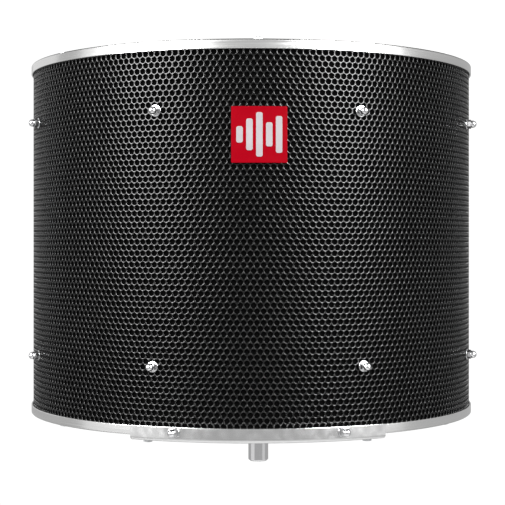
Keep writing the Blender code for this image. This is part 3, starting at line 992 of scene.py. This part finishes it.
flip = Matrix.Rotation(math.pi, 4, "X")
bracket_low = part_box("stand_bracket")[0].z
under = [bracket_low if abs(turn) < bracket_half_angle else panel_low for _, turn in side_rods]
top_places = [upright(rod, panel_high + gap) for rod in side_rods]
top_nodes = [f"tie_rod_top_nut_{count}" for count in range(1, 5)]
copies(flange_nut(), "top_nut", top_places, top_nodes, zinc, "shield")
low_places = [upright(rod, z - gap) @ flip for rod, z in zip(side_rods, under)]
low_nodes = [f"tie_rod_bottom_nut_{count}" for count in range(1, 5)]
copies(flange_nut(), "bottom_nut", low_places, low_nodes, zinc, "shield")
middle_place = [upright(middle_rod, panel_high + gap)]
copies(flange_nut(), "middle_nut", middle_place, ["centre_rod_nut"], zinc, "mount")


def threaded_rod(node, threads):
    """A rod as long as its CAD node, with thread cut on its last stretch at each end."""
    low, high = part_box(node)[0].z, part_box(node)[1].z
    outline = thread_rings(low, low + threads) + thread_rings(high - threads, high)
    return turned(f"{node}_shaft", outline, 24)


def rod_piece(node, place, body):
    rod = threaded_rod(node, rod_thread)
    smooth_under(rod, 20.0)
    copies(rod, f"{node}_thread", [upright(place, 0.0)], [node], zinc, body)


for count, place in enumerate(side_rods, 1):
    rod_piece(f"tie_rod_{count}", place, "shield")
rod_piece("centre_rod", middle_rod, "mount")


def button_bolt():
    """A long M4 bolt: low domed head with a hexagon socket, plain shank, threaded end."""
    head, height, socket = 0.004, 0.0024, 0.00125
    length = nut_seat + nut_grip - bolt_seat
    outline = [(0.0012, -height), (0.0022, -height)]
    outline += [(0.0031, -0.85 * height), (0.0037, -0.6 * height), (head, -0.3 * height)]
    outline += [(head, 0.0), (thread_radius, 0.0), (thread_radius, length - bolt_thread)]
    outline += thread_rings(length - bolt_thread, length)
    bolt = turned("button_bolt", outline, 36)
    cut_away(bolt, hexagon_bar(2 * socket, -height - 0.001, -height + 0.0014))
    smooth_under(bolt, 32.0)
    return bolt


bolt_seat = inner_sheet_radius - sheet_thick - gap
bolt_places = [radial(bolt_seat, *spot) for spot in bolt_spots]
bolt_nodes = [f"cross_bolt_{count}" for count in range(1, 9)]
copies(button_bolt(), "button_bolt", bolt_places, bolt_nodes, zinc, "shield")


def clinch_stud():
    """A stud pressed into the tray's wall: thin round head inside, thread through the lip."""
    length = lip_nut_seat + nut_grip - stud_seat
    outline = [(0.0024, -0.001), (0.0026, -0.0008), (0.0026, 0.0), (thread_radius, 0.0)]
    stud = turned("clinch_stud", outline + thread_rings(0.0004, length), 24)
    smooth_under(stud, 20.0)
    return stud


stud_seat = panel_radius - tray_wall - gap
stud_places = [radial(stud_seat, *spot) for spot in stud_spots]
stud_nodes = ["left_bracket_stud", "right_bracket_stud"]
copies(clinch_stud(), "clinch_stud", stud_places, stud_nodes, zinc, "shield")

# Spigot: a 16 mm chromed post, turned from bar, with a chamfered nose and a thin neck that goes
# up through the bracket and the tray to a jam nut. A collar washer sits under the bracket.
spigot_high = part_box("spigot")[1]
collar_low, collar_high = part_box("spigot_washer")
jam_low, jam_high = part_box("spigot_jam_nut")
post_radius = spigot_high.x
neck_radius = 0.004


def spigot():
    nose = 0.0013
    shoulder = collar_low.z - gap
    outline = [(0.0015, 0.0012), (0.0026, 0.0003), (0.0030, 0.0)]
    outline += [(post_radius - nose - 0.0002, 0.0), (post_radius - nose, 0.0001)]
    outline += [(post_radius - 0.0001, nose - 0.0001), (post_radius, nose + 0.0001)]
    outline += [(post_radius, shoulder - 0.0003), (post_radius - 0.0003, shoulder)]
    outline += [(neck_radius, shoulder), (neck_radius, spigot_high.z - 0.0004)]
    outline += [(neck_radius - 0.0004, spigot_high.z), (rod_hole_radius, spigot_high.z)]
    outline += [(rod_hole_radius, shoulder + 0.001)]
    piece = turned("spigot_post", outline, 96)
    smooth_flats(piece, 50.0)
    return piece


at_origin = [Matrix.Identity(4)]
copies(spigot(), "spigot_post", at_origin, ["spigot"], chrome, "mount")
collar = washer(collar_high.x, neck_hole_radius, collar_high.z - collar_low.z)
collar_place = [Matrix.Translation((0.0, 0.0, collar_low.z))]
copies(collar, "spigot_collar", collar_place, ["spigot_washer"], chrome, "mount")
jam_nut = nut_body("jam_nut", jam_high.y - jam_low.y, jam_low.z, jam_high.z)
cut_away(jam_nut, rod_drill(neck_hole_radius, middle_rod, jam_low.z - 0.001, jam_high.z + 0.001))
smooth_under(jam_nut, 32.0)
copies(jam_nut, "jam_nut", at_origin, ["spigot_jam_nut"], zinc, "mount")

# Badge: a 44.5 mm square of red enamelled plate, rolled to the sheet's curve and stuck on. It
# carries five raised white bars, a plain sound-level sign.
badge_low, badge_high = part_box("badge")
badge_size = badge_high.z - badge_low.z
badge_middle = (badge_low.z + badge_high.z) / 2
badge_thick = 0.0012
badge_back = outer_sheet_radius + gap


def red_enamel():
    """Red enamel: an even colour with a soft orange-peel skin."""
    finish = Finish("red_enamel", (0.48, 0.001, 0.011), 0.3, 0.0)
    finish.shader.inputs["Specular IOR Level"].default_value = 0.03
    peel = finish.add("ShaderNodeTexNoise", Vector=finish.place, Scale=500.0, Detail=1.0)
    finish.bump(peel.outputs["Fac"], 0.00001, 0.5)
    finish.roughness(finish.patches(80.0, 0.26, 0.36))
    finish.blend(finish.patches(30.0, 0.0, 1.0), (0.45, 0.0008, 0.010), (0.51, 0.0012, 0.012))
    return finish.material


def white_enamel():
    """White enamel for the bars: an even colour, a little rougher than the red."""
    finish = Finish("white_enamel", (0.66, 0.61, 0.63), 0.35, 0.0)
    finish.shader.inputs["Specular IOR Level"].default_value = 0.1
    finish.roughness(finish.patches(120.0, 0.3, 0.42))
    finish.blend(finish.patches(60.0, 0.0, 1.0), (0.62, 0.57, 0.59), (0.70, 0.65, 0.67))
    return finish.material


def rolled_plate(name, width, low, high, back, thick, corner, middle=0.0):
    """A plate with rounded corners, rolled to the arc; middle is its place along the curve."""
    bpy.ops.object.select_all(action="DESELECT")
    bpy.ops.mesh.primitive_plane_add(
        size=1.0, location=(middle, 0.0, (low + high) / 2), rotation=(math.radians(90.0), 0.0, 0.0)
    )
    plate = sized(name, width, high - low, 1.0)
    edit(plate)
    bpy.ops.mesh.select_all(action="SELECT")
    bpy.ops.mesh.bevel(offset=corner, segments=5, affect="VERTICES")
    done()
    modify(plate, "SOLIDIFY", thickness=thick, offset=-1.0)
    edit(plate)
    steps = max(2, round(width / 0.0015))
    for step in range(1, steps):
        bpy.ops.mesh.select_all(action="SELECT")
        x = middle - width / 2 + width * step / steps
        bpy.ops.mesh.bisect(plane_co=(x, 0.0, 0.0), plane_no=(1.0, 0.0, 0.0))
    done()
    only(plate)
    modify(plate, "BEVEL", width=min(0.00025, thick / 3), segments=3, angle_limit=math.radians(60))
    spans = [vert.co.x for vert in plate.data.vertices]
    radius = back + thick
    turn = (max(spans) - min(spans)) / radius
    modify(plate, "SIMPLE_DEFORM", deform_method="BEND", deform_axis="Z", angle=turn)
    plate.data.transform(Matrix.Translation((0.0, axis_y - radius, 0.0)))
    smooth_flats(plate, 35.0)
    return plate


plate = rolled_plate(
    "badge_plate", badge_size, badge_low.z, badge_high.z, badge_back, badge_thick, 0.0006
)
plate.data.materials.append(red_enamel())
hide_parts("badge")
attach(plate, "shield")

bar_width = 0.0052
bar_step = 0.0078
bar_thick = 0.0004
bar_corner = 0.3 * bar_width
bar_sink = 0.0001
bar_heights = (0.013, 0.025, 0.035, 0.019, 0.029)
bar_white = white_enamel()
for count, height in enumerate(bar_heights):
    middle = (count - 2) * bar_step
    low, high = badge_middle - height / 2, badge_middle + height / 2
    name = f"badge_bar_{count + 1}"
    seat = badge_back + badge_thick - bar_sink
    bar = rolled_plate(name, bar_width, low, high, seat, bar_thick, bar_corner, middle)
    bar.data.materials.append(bar_white)
    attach(bar, "shield")
